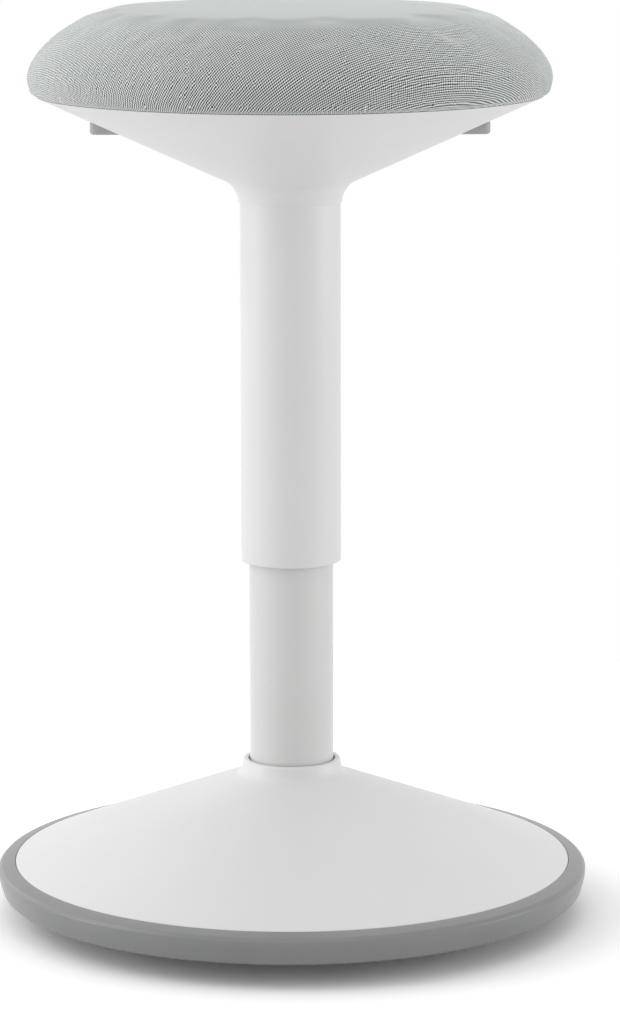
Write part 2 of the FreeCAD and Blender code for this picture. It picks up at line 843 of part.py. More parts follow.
# Lever
def lever_paddle():
    paddle = ring(lever_inner_radius, lever_radius, lever_bottom, lever_top)
    paddle = paddle.cut(before_lever(lever_end_offset))
    upright = [edge for edge in paddle.Edges
               if edge.BoundBox.ZLength > lever_thickness / 2 and edge.BoundBox.YMax < lever_end_offset + past]
    paddle = paddle.makeFillet(lever_end_round, upright)
    level = [edge for edge in paddle.Edges if edge.BoundBox.ZLength < lever_thickness / 2]
    paddle = paddle.makeFillet(lever_round, level)
    tongue = block((-tongue_half_width, tongue_front, tongue_bottom),
                   (tongue_half_width, lever_inner_radius + lever_round, lever_top))
    paddle = paddle.fuse(tongue)
    for x, y in lever_screw_places():
        paddle = paddle.cut(rod(m4_radius + thread_gap, lever_bottom, lever_top + past, x, y))
    return paddle.removeSplitter()


def lever_screw_places():
    middle = (tongue_front + arm_back) / 2
    return [(0, middle - lever_screw_spacing / 2), (0, middle + lever_screw_spacing / 2)]


def lever_arm():
    high, low, thick = arm_bottom, lever_top, arm_thickness
    profile = [(arm_front, high), (arm_bend_start, high), (tongue_front, low), (arm_back, low),
               (arm_back, low + thick), (tongue_front + thick / 2, low + thick),
               (arm_bend_start + thick / 2, high + thick), (arm_front, high + thick)]
    points = [Vector(-arm_half_width, y, z) for y, z in profile]
    strip = Part.Face(Part.makePolygon(points + points[:1])).extrude(Vector(2 * arm_half_width, 0, 0))
    arm = strip.fuse(cross_rod(arm_eye_radius, arm_half_width))
    arm = arm.cut(cross_rod(pivot_pin_radius + running_gap, arm_half_width + past))
    for x, y in lever_screw_places():
        arm = arm.cut(rod(m4_radius + screw_clearance, lever_top - past, lever_top + thick + past, x, y))
    return arm.removeSplitter()


def lever_screws():
    head_top = lever_top + arm_thickness + small_head_height
    return [screw_down(x, y, head_top, tongue_bottom, m4_radius, small_head_radius, small_head_height)
            for x, y in lever_screw_places()]


# Seat
def seat_board():
    board = rod(board_radius, board_bottom, board_top)
    low, high = board_bottom - past, board_top + past
    for x, y in corners_of_square(plate_bolt_offset):
        board = board.cut(rod(tee_barrel_radius + weld_gap, low, high, x, y))
        board = board.cut(rod(tee_flange_radius + weld_gap, board_top - tee_flange_thickness, high, x, y))
    for x, y in spots(shell_boss_count, shell_boss_circle, shell_boss_turn):
        board = board.cut(rod(m4_radius + screw_clearance, low, high, x, y))
        board = board.cut(rod(small_head_radius + screw_clearance, board_top - small_head_height, high, x, y))
    return board


def on_arc(centre, radius, angle):
    """Point of a section arc, with the angle measured from straight up."""
    return Vector(centre[0] + radius * sin(angle), 0, centre[1] + radius * cos(angle))


def cushion_section(inset, bottom):
    """Edges of the cushion's half section from the axis down to a level."""
    slope, crown = cushion_side_slope, cushion_crown_slope
    side = (cushion_radius - cushion_side_radius, seam_height + cushion_widest_height)
    tuck = (cushion_radius - cushion_tuck_radius, seam_height + cushion_widest_height)
    side_end = on_arc(side, cushion_side_radius, slope)
    run = (seam_height + cushion_shoulder_height - side_end.z) / tan(slope)
    shoulder_end = (side_end.x - run, seam_height + cushion_shoulder_height)
    shoulder = (shoulder_end[0] - cushion_shoulder_radius * sin(slope),
                shoulder_end[1] - cushion_shoulder_radius * cos(slope))
    crown_end = on_arc(shoulder, cushion_shoulder_radius, crown)
    crown_radius = crown_end.x / sin(crown)
    dome = (0.0, crown_end.z - crown_radius * cos(crown))
    drop = (tuck[1] - bottom) / (cushion_tuck_radius - inset)
    upright = math.degrees(math.pi / 2)
    tuck_end = upright + math.degrees(math.asin(drop))
    arcs = [(dome, crown_radius, 0, crown), (shoulder, cushion_shoulder_radius, crown, slope),
            (side, cushion_side_radius, slope, upright), (tuck, cushion_tuck_radius, upright, tuck_end)]
    edges = []
    for centre, radius, start, end in arcs:
        points = [on_arc(centre, radius - inset, angle) for angle in (start, (start + end) / 2, end)]
        if edges and last.distanceToPoint(points[0]) > 1e-6:
            edges.append(Part.makeLine(last, points[0]))
        edges.append(Part.Arc(*points).toShape())
        last = points[2]
    return edges, on_arc(dome, crown_radius - inset, 0), last


def cushion_solid(inset, bottom, lower):
    """Solid under the cushion section, closed along the given lower corners."""
    edges, top, last = cushion_section(inset, bottom)
    points = [last] + [Vector(r, 0, z) for r, z in lower] + [top]
    edges += [Part.makeLine(a, b) for a, b in zip(points, points[1:])]
    return Part.Face(Part.Wire(edges)).revolve(Vector(0, 0, 0), UP, 360)


def seat_foam():
    skirt = board_radius + seat_gap
    lower = [(skirt, board_bottom), (skirt, board_top), (0, board_top)]
    return cushion_solid(fabric_thickness + seat_gap, board_bottom, lower)


def seat_cover():
    outer = cushion_solid(0.0, seam_height, [(0, seam_height)])
    inside_bottom = seam_height + fabric_thickness
    inner = cushion_solid(fabric_thickness, inside_bottom, [(0, inside_bottom)])
    hem_inner = shell_rim_radius - hem_width
    return outer.cut(inner).cut(rod(hem_inner, seam_height - past, inside_bottom + past))


os.makedirs("parts", exist_ok=True)
pieces = [sole_pad, base_pan, rim_ring, base_cover, cover_screws, counterweight, weight_screws, hub_plate,
          hub_screws, hub_sleeve, column_tube, column_floor, guide_bush, lower_washer, ball_cage, bearing_balls,
          upper_washer, piston_rod, rod_clip, foot_washer, bump_buffer, piston, piston_seal, gas_cylinder,
          rod_gland, valve_body, valve_pin, cover_tube, glide_ring, seat_shell, shell_screws, mechanism_plate,
          mechanism_channel, taper_socket, pivot_pin, pivot_clips, plate_bolts, tee_nuts, lever_paddle, lever_arm,
          lever_screws, seat_board, seat_foam, seat_cover]
for piece in pieces:
    export(piece.__name__, piece())
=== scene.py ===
"""A height-adjustable wobble stool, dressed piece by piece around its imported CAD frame.

Everything is in metres, with the floor at Z = 0, the front of the stool towards -Y
and its release lever at the back. The sections follow the order of assembly.
"""
import math

import bmesh
import bpy
from mathutils import Matrix, Vector
from mathutils.geometry import intersect_point_line


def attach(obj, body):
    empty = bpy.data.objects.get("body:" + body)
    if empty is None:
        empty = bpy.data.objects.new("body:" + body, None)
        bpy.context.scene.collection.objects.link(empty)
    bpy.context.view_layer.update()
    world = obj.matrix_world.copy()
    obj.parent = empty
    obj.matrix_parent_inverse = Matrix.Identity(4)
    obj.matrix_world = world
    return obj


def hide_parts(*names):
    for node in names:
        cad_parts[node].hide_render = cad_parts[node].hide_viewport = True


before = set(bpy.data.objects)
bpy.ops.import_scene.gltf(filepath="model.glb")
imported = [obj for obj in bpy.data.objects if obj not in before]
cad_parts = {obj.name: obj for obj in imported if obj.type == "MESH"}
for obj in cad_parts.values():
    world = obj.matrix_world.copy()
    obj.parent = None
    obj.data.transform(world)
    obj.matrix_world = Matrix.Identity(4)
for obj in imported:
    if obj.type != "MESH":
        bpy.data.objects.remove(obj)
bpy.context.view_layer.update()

# Camera: a long lens a little above the seat, tipped down by ten degrees, so that the
# top of the cushion and the cone of the base both show.
LONG_SIDE_PIXELS = 1024
FOCAL_PIXELS = 4127
CAMERA_PLACE = (0.01125, -2.4196, 0.6823)
CAMERA_PITCH = math.radians(10.29)
CAMERA_ROLL = math.radians(-0.108)

lens = bpy.data.cameras.new("camera")
lens.lens = FOCAL_PIXELS * lens.sensor_width / LONG_SIDE_PIXELS
lens.clip_start, lens.clip_end = 0.1, 50.0
camera = bpy.data.objects.new("camera", lens)
camera.matrix_world = (
    Matrix.Translation(CAMERA_PLACE)
    @ Matrix.Rotation(math.pi / 2 - CAMERA_PITCH, 4, "X")
    @ Matrix.Rotation(CAMERA_ROLL, 4, "Z")
)
bpy.context.scene.collection.objects.link(camera)
bpy.context.scene.camera = camera
bpy.context.scene.view_settings.view_transform = "Standard"


# Studio floor: a wide sheet of matt white paper that takes the stool's shadow. For the
# camera it fades into pure white away from the stool, as a curved paper sweep does.
class Wire:
    """A node's output. Sums and products written on it add Math nodes."""

    def __init__(self, nodes, socket):
        self.nodes = nodes
        self.socket = socket

    def math(self, operation, *others):
        return self.nodes.node("ShaderNodeMath", {"operation": operation}, [self, *others])

    def __add__(self, other):
        return self.math("ADD", other)

    def __mul__(self, other):
        return self.math("MULTIPLY", other)

    __radd__ = __add__
    __rmul__ = __mul__


class Nodes:
    """The nodes of one material, or of the room around the stool."""

    def __init__(self, tree):
        self.tree = tree

    def node(self, kind, settings=None, inputs=(), output=0):
        """Adds a node: its settings first, then the values or wires of its sockets."""
        made = self.tree.nodes.new(kind)
        for setting, value in (settings or {}).items():
            setattr(made, setting, value)
        for socket, value in inputs.items() if isinstance(inputs, dict) else enumerate(inputs):
            if isinstance(value, Wire):
                self.tree.links.new(value.socket, made.inputs[socket])
            else:
                made.inputs[socket].default_value = value
        return Wire(self, made.outputs[output])

    def feed(self, socket, wire, name="Principled BSDF"):
        """Leads a wire into a socket of the shader, or of another node by its name."""
        self.tree.links.new(wire.socket, self.tree.nodes[name].inputs[socket])

    def spread(self, wire, low, high, to_low=0.0, to_high=1.0):
        """Stretches what lies from low to high over a new range, and stops at its ends."""
        return self.node("ShaderNodeMapRange", {}, [wire, low, high, to_low, to_high])


class Finish(Nodes):
    """One material, with the patterns and marks that the stool's pieces share."""

    def __init__(self, name, color=(0.8, 0.8, 0.8), roughness=0.5, **sockets):
        self.material = bpy.data.materials.new(name)
        self.material.use_nodes = True
        super().__init__(self.material.node_tree)
        shader = self.tree.nodes["Principled BSDF"]
        shader.inputs["Base Color"].default_value = (*color, 1)
        shader.inputs["Roughness"].default_value = roughness
        for socket, value in sockets.items():
            shader.inputs[socket.replace("_", " ")].default_value = value

    def place(self, stretch=(1, 1, 1)):
        """Object coordinates in metres, with a pattern's repeats packed along an axis."""
        spot = self.node("ShaderNodeTexCoord", output="Object")
        return self.node("ShaderNodeMapping", {}, {"Vector": spot, "Scale": stretch})

    def noise(self, per_metre, detail=3.0, rough=0.5, stretch=(1, 1, 1)):
        """Clouds or grain, by how many fit in a metre."""
        return self.node("ShaderNodeTexNoise", {}, {"Vector": self.place(stretch), "Scale": per_metre,
                                                    "Detail": detail, "Roughness": rough})

    def blend(self, share, low, high):
        """Colour between two colours, by a share from 0 to 1."""
        low, high = ((*end, 1) if isinstance(end, tuple) else end for end in (low, high))
        return self.node("ShaderNodeMix", {"data_type": "RGBA"}, {0: share, 6: low, 7: high}, output=2)

    def tint(self, pattern, low, high, dark, light):
        """Base colour from dark to light, as the pattern goes from low to high."""
        self.feed("Base Color", self.blend(self.spread(pattern, low, high), dark, light))

    def gloss(self, pattern, low, high, smooth, rough):
        """Roughness from smooth to rough, as the pattern goes from low to high."""
        self.feed("Roughness", self.spread(pattern, low, high, smooth, rough))

    def bump(self, height, strength, depth):
        """Relief from a height of 0 to 1 that stands for a depth in metres."""
        self.feed("Normal", self.node("ShaderNodeBump", {},
                                      {"Strength": strength, "Distance": depth, "Height": height}))

    def on(self, *pieces):
        for piece in pieces:
            piece.data.materials.clear()
            piece.data.materials.append(self.material)


FLOOR_SIZE = 80.0
FLOOR_DROP = 0.0003
PAPER_WHITE, PAPER_SEEN = 0.84, 1.26
PAPER_GLOW = 0.02
SHADOW_REACH, OPEN_FLOOR = 0.45, 0.75

sheet = bmesh.new()
bmesh.ops.create_grid(sheet, x_segments=1, y_segments=1, size=FLOOR_SIZE / 2,
                      matrix=Matrix.Translation((0, 0, -FLOOR_DROP)))
floor_mesh = bpy.data.meshes.new("floor")
sheet.to_mesh(floor_mesh)
sheet.free()
floor = bpy.data.objects.new("floor", floor_mesh)
bpy.context.scene.collection.objects.link(floor)
paper = Finish("paper")
plain, bright = (paper.node("ShaderNodeBsdfDiffuse", {}, {"Color": (level, level, level, 1)})
                 for level in (PAPER_WHITE, PAPER_SEEN))
glow, open_sheet = (paper.node("ShaderNodeEmission", {}, {"Color": (1, 1, 1, 1), "Strength": strength})
                    for strength in (PAPER_GLOW, 1.0))
under_stool = paper.node("ShaderNodeAddShader", {}, [bright, glow])
away = paper.node("ShaderNodeVectorMath", {"operation": "LENGTH"}, [paper.place()], output=1)
opening = paper.spread(away, SHADOW_REACH, OPEN_FLOOR)
seen_floor = paper.node("ShaderNodeMixShader", {}, [opening, under_stool, open_sheet])
seen = (paper.node("ShaderNodeLightPath", output="Is Camera Ray")
        + paper.node("ShaderNodeLightPath", output="Is Glossy Ray"))
paper.feed("Surface", paper.node("ShaderNodeMixShader", {}, [seen, plain, seen_floor]), "Material Output")
paper.tree.nodes.remove(paper.tree.nodes["Principled BSDF"])
paper.on(floor)

# Lamps and room: soft boxes stand left and right of the stool, low beside it and behind
# it, and one hangs over it. The room adds even light and shows white behind.
ROOM_LIGHT = 0.625
SOFT_BOXES = (
    ("left back box", (-1.9, 1.8, 1.3), (1.6, 1.8), 6.0),
    ("left high box", (-2.2, -0.2, 1.9), (1.6, 1.6), 13.0),
    ("left low box", (-2.6, -0.2, 0.55), (1.4, 1.0), 14.0),
    ("right low box", (2.6, -0.2, 0.55), (1.4, 1.0), 14.5),
    ("top box", (0.0, 0.2, 2.8), (2.0, 2.0), 8.5),
)
AIM = Vector((0.0, 0.0, 0.25))

for name, spot, size, power in SOFT_BOXES:
    lamp = bpy.data.lights.new(name, "AREA")
    lamp.shape, lamp.size, lamp.size_y, lamp.energy = "RECTANGLE", size[0], size[1], power
    holder = bpy.data.objects.new(name, lamp)
    facing = (AIM - Vector(spot)).to_track_quat("-Z", "Y").to_matrix().to_4x4()
    holder.matrix_world = Matrix.Translation(spot) @ facing
    bpy.context.scene.collection.objects.link(holder)

room = bpy.data.worlds.new("room")
room.use_nodes = True
bpy.context.scene.world = room
sky = Nodes(room.node_tree)
looked_at, mirrored, shone_through = (sky.node("ShaderNodeLightPath", output=f"Is {ray} Ray")
                                      for ray in ("Camera", "Glossy", "Transmission"))
sky.tree.nodes["Background"].inputs["Color"].default_value = (1, 1, 1, 1)
sky.feed("Strength", sky.spread(looked_at + mirrored + shone_through, 0, 1, ROOM_LIGHT, 1.0), "Background")


# Sole pad: moulded rubber disc glued into the middle of the underside. Its flat middle
# stands on the floor and its edge carries on the curve that the stool rocks on.
MM = 0.001
SMOOTH_ANGLE = math.radians(32)
CORNER_STEPS = 6
LATHE_STEPS = 240
MERGE = 1e-7
SOLE_FLAT, SOLE_EDGE, SOLE_EDGE_HEIGHT, SOLE_THICKNESS = 50.0, 62.0, 0.706, 2.5
SOLE_OUTLINE = [(0, 0), (20, 0), (35, 0), (SOLE_FLAT, 0), (SOLE_EDGE, SOLE_EDGE_HEIGHT, 0.3),
                (SOLE_EDGE, SOLE_THICKNESS), (0, SOLE_THICKNESS)]


def new_piece(name, mesh, body):
    """Turns a bmesh into a piece that rides on a body."""
    bmesh.ops.remove_doubles(mesh, verts=mesh.verts, dist=MERGE)
    bmesh.ops.recalc_face_normals(mesh, faces=mesh.faces)
    data = bpy.data.meshes.new(name)
    mesh.to_mesh(data)
    mesh.free()
    data.polygons.foreach_set("use_smooth", [True] * len(data.polygons))
    data.set_sharp_from_angle(angle=SMOOTH_ANGLE)
    piece = bpy.data.objects.new(name, data)
    bpy.context.scene.collection.objects.link(piece)
    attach(piece, body)
    return piece


def outline(mesh, corners, closed=True):
    """Draws the (radius, height, rounding) corners, in millimetres, in the XZ plane."""
    verts = [mesh.verts.new((corner[0] * MM, 0, corner[1] * MM)) for corner in corners]
    pairs = list(zip(verts, verts[1:])) + ([(verts[-1], verts[0])] if closed else [])
    for pair in pairs:
        mesh.edges.new(pair)
    for vert, corner in zip(verts, corners):
        if len(corner) > 2 and len(vert.link_edges) == 2:
            arms = [(edge.other_vert(vert).co - vert.co).normalized() for edge in vert.link_edges]
            reach = corner[2] * MM / math.tan(arms[0].angle(arms[1]) / 2)
            bmesh.ops.bevel(mesh, geom=[vert], offset=reach, offset_type="OFFSET",
                            segments=CORNER_STEPS, profile=0.5, affect="VERTICES", material=-1)


def lathe(corners, steps=LATHE_STEPS, closed=True):
    """Turned shape from an outline."""
    mesh = bmesh.new()
    outline(mesh, corners, closed)
    bmesh.ops.spin(mesh, geom=mesh.verts[:] + mesh.edges[:], cent=(0, 0, 0), axis=(0, 0, 1),
                   angle=math.tau, steps=steps, use_merge=True)
    return mesh


sole = new_piece("sole", lathe(SOLE_OUTLINE, closed=False), "base")
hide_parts("sole_pad")
rubber = Finish("sole rubber", (0.045, 0.047, 0.047), 0.75)
scuffs = rubber.noise(55, 5, 0.65)
rubber.tint(scuffs, 0.42, 0.68, (0.040, 0.042, 0.042), (0.075, 0.076, 0.075))
rubber.gloss(scuffs, 0.3, 0.7, 0.62, 0.85)
rubber.bump(rubber.noise(1800, 2), 0.35, 0.00012)
rubber.on(sole)

# Base pan: injection-moulded underside in grey plastic with a fine spark texture. Its
# curve is the one that the stool rocks on, and six sunk holes take the screws.
pan_plastic = Finish("pan plastic", (0.20, 0.205, 0.205), 0.55)
pan_plastic.tint(pan_plastic.noise(22, 6, 0.6), 0.4, 0.75, (0.185, 0.19, 0.19), (0.25, 0.253, 0.25))
grain = pan_plastic.noise(2200, 3, 0.6)
pan_plastic.gloss(grain, 0.2, 0.8, 0.46, 0.66)
pan_plastic.bump(grain, 0.3, 0.00008)
pan_plastic.on(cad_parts["base_pan"])

# Parts inside: zinc-plated screws and clips, the cast iron weight, powder-coated plates
# and sockets, and the gas spring's ground steel, turned aluminium, plastic bushes and
# rubber seals. They are bolted, welded or pressed into place.
ALONG_TUBE = (1, 1, 60)

zinc = Finish("zinc plate", (0.58, 0.59, 0.60), 0.34, Metallic=1.0)
cloud = zinc.noise(260, 4)
zinc.tint(cloud, 0.3, 0.7, (0.50, 0.51, 0.53), (0.64, 0.64, 0.62))
zinc.gloss(cloud, 0.3, 0.7, 0.28, 0.45)
zinc.bump(zinc.noise(3000, 2), 0.15, 0.00003)

iron = Finish("oiled cast iron", (0.05, 0.05, 0.052), 0.6, Metallic=0.6)
cast = iron.noise(420, 6, 0.62)
iron.tint(cast, 0.35, 0.7, (0.035, 0.035, 0.036), (0.075, 0.072, 0.068))
iron.gloss(cast, 0.3, 0.7, 0.5, 0.78)
iron.bump(cast, 0.5, 0.0003)

black_coat = Finish("black powder coat", (0.018, 0.018, 0.019), 0.5)
peel = black_coat.noise(900, 3)
black_coat.gloss(peel, 0.3, 0.7, 0.42, 0.56)
black_coat.bump(peel, 0.3, 0.00006)

ground = Finish("ground steel", (0.62, 0.63, 0.64), 0.2, Metallic=1.0)
lines = ground.noise(120, 3, stretch=ALONG_TUBE)
ground.gloss(lines, 0.3, 0.7, 0.14, 0.28)
ground.bump(lines, 0.08, 0.00002)

turned = Finish("turned aluminium", (0.72, 0.73, 0.74), 0.32, Metallic=1.0)
lines = turned.noise(160, 3, stretch=ALONG_TUBE)
turned.gloss(lines, 0.3, 0.7, 0.24, 0.42)
turned.bump(lines, 0.12, 0.00002)

natural = Finish("natural bush plastic", (0.66, 0.66, 0.63), 0.42)
natural.gloss(natural.noise(90, 4), 0.3, 0.7, 0.36, 0.5)
natural.bump(natural.noise(1500, 3), 0.15, 0.00004)

black_rubber = Finish("black rubber", (0.016, 0.016, 0.017), 0.68)
black_rubber.gloss(black_rubber.noise(120, 4), 0.3, 0.7, 0.58, 0.78)
black_rubber.bump(black_rubber.noise(1600, 2), 0.25, 0.00006)

inside = {
    zinc: ("cover_screws", "weight_screws", "hub_screws", "rod_clip", "foot_washer", "shell_screws",
           "pivot_clips", "plate_bolts", "tee_nuts", "lever_arm", "lever_screws"),
    iron: ("counterweight",),
    black_coat: ("hub_plate", "hub_sleeve", "column_floor", "gas_cylinder", "mechanism_plate",
                 "mechanism_channel", "taper_socket"),
    ground: ("lower_washer", "upper_washer", "bearing_balls", "piston_rod", "valve_pin", "pivot_pin"),
    turned: ("piston", "rod_gland", "valve_body"),
    natural: ("guide_bush", "ball_cage", "glide_ring"),
    black_rubber: ("bump_buffer", "piston_seal"),
}
for finish, names in inside.items():
    finish.on(*[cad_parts[name] for name in names])

# Rim ring: soft grey elastomer ring pressed over the edge of the pan. A nearly flat top
# runs out from the white cover, then a small shoulder and a side that leans in.
BASE_STEPS = 300
RING_OUTLINE = [(166.95, 32.28, 0.4), (175.0, 30.4, 1.3), (177.0, 28.4, 1.3), (177.0, 24.4, 8.0),
                (174.4, 14.8, 2.0), (160.25, 12.25), (160.25, 16.1), (171.25, 16.1),
                (171.25, 20.05), (166.95, 20.05)]

ring = new_piece("rim", lathe(RING_OUTLINE, BASE_STEPS), "base")
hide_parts("rim_ring")
elastomer = Finish("grey elastomer", (0.25, 0.253, 0.253), 0.32, Specular_IOR_Level=0.5)
elastomer.tint(elastomer.noise(14, 5, 0.6), 0.4, 0.7, (0.240, 0.243, 0.243), (0.260, 0.263, 0.262))
grain = elastomer.noise(1500, 3, 0.6)
elastomer.gloss(grain, 0.25, 0.75, 0.27, 0.37)
elastomer.bump(grain, 0.22, 0.00006)
elastomer.on(ring)

# Base cover: white satin moulding, a straight cone with a raised collar that the column
# comes up through. Screws from below pull its edge down inside the rim ring.
COVER_OUTLINE = [(26.0, 93.4, 0.6), (29.0, 93.4, 1.2), (30.5, 85.1, 7.0), (100.0, 58.2),
                 (166.7, 32.3, 0.8), (166.7, 19.8), (163.7, 19.8), (163.7, 30.2),
                 (29.0, 82.5), (26.0, 82.5)]

cover = new_piece("base_cone", lathe(COVER_OUTLINE, BASE_STEPS), "base")
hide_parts("base_cover")
white = Finish("white satin plastic", (0.80, 0.80, 0.80), 0.4, Specular_IOR_Level=0.45)
white.tint(white.noise(9, 5, 0.6), 0.35, 0.7, (0.800, 0.802, 0.802), (0.826, 0.826, 0.824))
spark = white.noise(2600, 2)
white.gloss(spark, 0.25, 0.75, 0.34, 0.46)
white.bump(spark, 0.12, 0.00003)
white.on(cover)

# Column: outer tube of the gas column, 50 mm steel tube in white powder coat, pressed
# by its taper into the hub and standing up through the collar.
COLUMN_OUTLINE = [(21.7, 16.0), (23.7, 16.0), (25.0, 70.0), (25.0, 345.0, 0.5), (23.0, 345.0),
                  (23.0, 70.0)]

column = new_piece("column", lathe(COLUMN_OUTLINE), "base")
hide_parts("column_tube")
paint = Finish("white powder coat", (0.74, 0.74, 0.735), 0.32, Specular_IOR_Level=0.5)
paint.tint(paint.noise(12, 4), 0.35, 0.7, (0.720, 0.720, 0.714), (0.740, 0.740, 0.735))
peel = paint.noise(700, 3)
paint.gloss(peel, 0.3, 0.7, 0.27, 0.38)
paint.bump(peel, 0.12, 0.00004)
paint.on(column)

# Cover tube: wide white tube that hides the gas cylinder. It slides down over the column
# with the seat. Its lower rim is softly rounded and its top sits in the shell's neck.
TUBE_OUTLINE = [(27.3, 214.0, 0.5), (29.7, 214.0, 1.5), (29.7, 428.75), (28.7, 428.75),
                (28.7, 447.5, 0.5), (27.3, 447.5)]

tube = new_piece("wide_tube", lathe(TUBE_OUTLINE), "seat")
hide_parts("cover_tube")
white.on(tube)

# Seat shell: white moulded cone under the seat, 3 mm thick, screwed to the board. A
# curved neck takes the tube, shallow finger scoops run back to the lever, and a slot
# lets the lever out.
SHELL_STEPS = 360
SHELL_SLOPE = math.radians(24.5)
SHELL_EDGE = (147.9, 491.0)
SHELL_LIP, SHELL_TOP = 148.9, 491.8
SHELL_WALL = 3.0
SLOT_INNER, SLOT_OUTER = 94.5, 120.5
SCOOP_MIDDLE, SCOOP_DEPTH, SCOOP_HALF_WIDTH = 113.5, 0.9, 12.0
SCOOP_FRONT, SCOOP_FULL = math.radians(27), math.radians(46)
SCOOP_FADE, SCOOP_BACK = math.radians(56), math.radians(68)
SCOOP_ROWS = 14
ON_SURFACE = 0.01


def on_cone(radius, above=0.0):
    """Point of the shell's outside, or so far above it, in millimetres."""
    return radius, SHELL_EDGE[1] - (SHELL_EDGE[0] - radius) * math.tan(SHELL_SLOPE) + above


wall_rise = SHELL_WALL / math.cos(SHELL_SLOPE)
scoop_inner, scoop_outer = SCOOP_MIDDLE - SCOOP_HALF_WIDTH, SCOOP_MIDDLE + SCOOP_HALF_WIDTH
rows = [scoop_inner + (scoop_outer - scoop_inner) * row / SCOOP_ROWS for row in range(SCOOP_ROWS + 1)]
outside = [on_cone(radius) for radius in sorted({SLOT_INNER, SLOT_OUTER, *rows})]
neck = [(28.75, 428.8), (30.7, 428.8, 0.3), (30.7, 437.6, 13.2), on_cone(60)]
lip = [on_cone(135), on_cone(SHELL_LIP) + (0.3,), (SHELL_LIP, SHELL_TOP, 0.25), (141.99, SHELL_TOP)]
inner_wall = [on_cone(SLOT_OUTER, wall_rise), on_cone(SLOT_INNER, wall_rise), (57.3, 453.0)]
tube_seat = [(27.3, 453.0), (27.3, 447.7), (28.75, 447.7)]
shell_mesh = lathe(neck + outside + lip + inner_wall + tube_seat, SHELL_STEPS)

inward = Vector((-math.sin(SHELL_SLOPE), 0, math.cos(SHELL_SLOPE)))
for vert in shell_mesh.verts:
    radius = math.hypot(vert.co.x, vert.co.y) / MM
    if not scoop_inner < radius < scoop_outer or abs(vert.co.z / MM - on_cone(radius)[1]) > ON_SURFACE:
        continue
    aside = math.atan2(abs(vert.co.x), -vert.co.y)
    width = 1 - ((radius - SCOOP_MIDDLE) / SCOOP_HALF_WIDTH) ** 2
    rise = min(1.0, max(0.0, (aside - SCOOP_FRONT) / (SCOOP_FULL - SCOOP_FRONT)))
    fall = min(1.0, max(0.0, (SCOOP_BACK - aside) / (SCOOP_BACK - SCOOP_FADE)))
    depth = SCOOP_DEPTH * width * math.sqrt(rise) * fall * fall * (3 - 2 * fall)
    if depth > 0:
        turn = Matrix.Rotation(math.atan2(vert.co.y, vert.co.x), 3, "Z")
        vert.co += turn @ inward * depth * MM

slot_faces = []
for face in shell_mesh.faces:
    middle = face.calc_center_median() / MM
    if SLOT_INNER < math.hypot(middle.x, middle.y) < SLOT_OUTER and middle.y > 0:
        slot_faces.append(face)
bmesh.ops.delete(shell_mesh, geom=slot_faces, context="FACES")
bmesh.ops.bridge_loops(shell_mesh, edges=[edge for edge in shell_mesh.edges if edge.is_boundary])
shell = new_piece("shell", shell_mesh, "seat")
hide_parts("seat_shell")
white.on(shell)

# Lever: half ring moulded in plastic. Its grey, darker than the shell's white, is partly painted shade
# for the shade under the seat. Its rounded ends are the two tabs that show beside the shell.
# Lifting it tips the steel arm down on the valve pin.
LEVER_INNER, LEVER_OUTER = 96.0, 117.8
LEVER_BOTTOM, LEVER_TOP = 467.53, 475.53
LEVER_FRONT = 2.0
LEVER_STEPS = 90
LEVER_END_ROUND, LEVER_EDGE_ROUND = 5.0, 1.8
EDGE_STEPS = 4
SHARP_EDGE = 1.0
LEVEL = 1e-6
TONGUE_MIDDLE, TONGUE_SIZE = (0, 79.5, 473.53), (30, 36, 4)

paddle = bmesh.new()
start = math.asin(LEVER_FRONT / LEVER_OUTER)
ends = [paddle.verts.new((radius * MM * math.cos(start), radius * MM * math.sin(start), LEVER_BOTTOM * MM))
        for radius in (LEVER_INNER, LEVER_OUTER)]
first = paddle.edges.new(ends)
bmesh.ops.spin(paddle, geom=[*ends, first], cent=(0, 0, 0), axis=(0, 0, 1),
               angle=math.pi - 2 * start, steps=LEVER_STEPS)
bmesh.ops.remove_doubles(paddle, verts=paddle.verts, dist=MERGE)
end_corners = [vert for vert in paddle.verts if len(vert.link_edges) == 2]
bmesh.ops.bevel(paddle, geom=end_corners, offset=LEVER_END_ROUND * MM, offset_type="OFFSET",
                segments=CORNER_STEPS, profile=0.5, affect="VERTICES", material=-1)
raised = bmesh.ops.extrude_face_region(paddle, geom=paddle.faces[:])["geom"]
bmesh.ops.translate(paddle, vec=(0, 0, (LEVER_TOP - LEVER_BOTTOM) * MM),
                    verts=[item for item in raised if isinstance(item, bmesh.types.BMVert)])
bmesh.ops.recalc_face_normals(paddle, faces=paddle.faces)
rims = [edge for edge in paddle.edges if edge.is_manifold and edge.calc_face_angle(0) > SHARP_EDGE
        and abs(edge.verts[0].co.z - edge.verts[1].co.z) < LEVEL]
bmesh.ops.bevel(paddle, geom=rims, offset=LEVER_EDGE_ROUND * MM, offset_type="OFFSET",
                segments=EDGE_STEPS, profile=0.5, affect="EDGES", material=-1)
bmesh.ops.create_cube(paddle, size=1.0, matrix=Matrix.Translation(Vector(TONGUE_MIDDLE) * MM)
                      @ Matrix.Diagonal((*(Vector(TONGUE_SIZE) * MM), 1)))
lever = new_piece("paddle", paddle, "lever")
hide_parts("lever_paddle")
# The grey is partly painted shade: the lever is darkened for the shade under the seat.
lever_plastic_with_shade = Finish("lever plastic with painted shade", (0.44, 0.43, 0.42), 0.42)
spark = lever_plastic_with_shade.noise(2600, 2)
lever_plastic_with_shade.gloss(spark, 0.25, 0.75, 0.36, 0.5)
lever_plastic_with_shade.bump(spark, 0.12, 0.00003)
lever_plastic_with_shade.on(lever)

# Seat board: birch plywood disc that the mechanism and the shell are screwed to. The
# foam stands on it and the cloth is stapled round its edge.
PLY_GRAIN = (1, 14, 90)

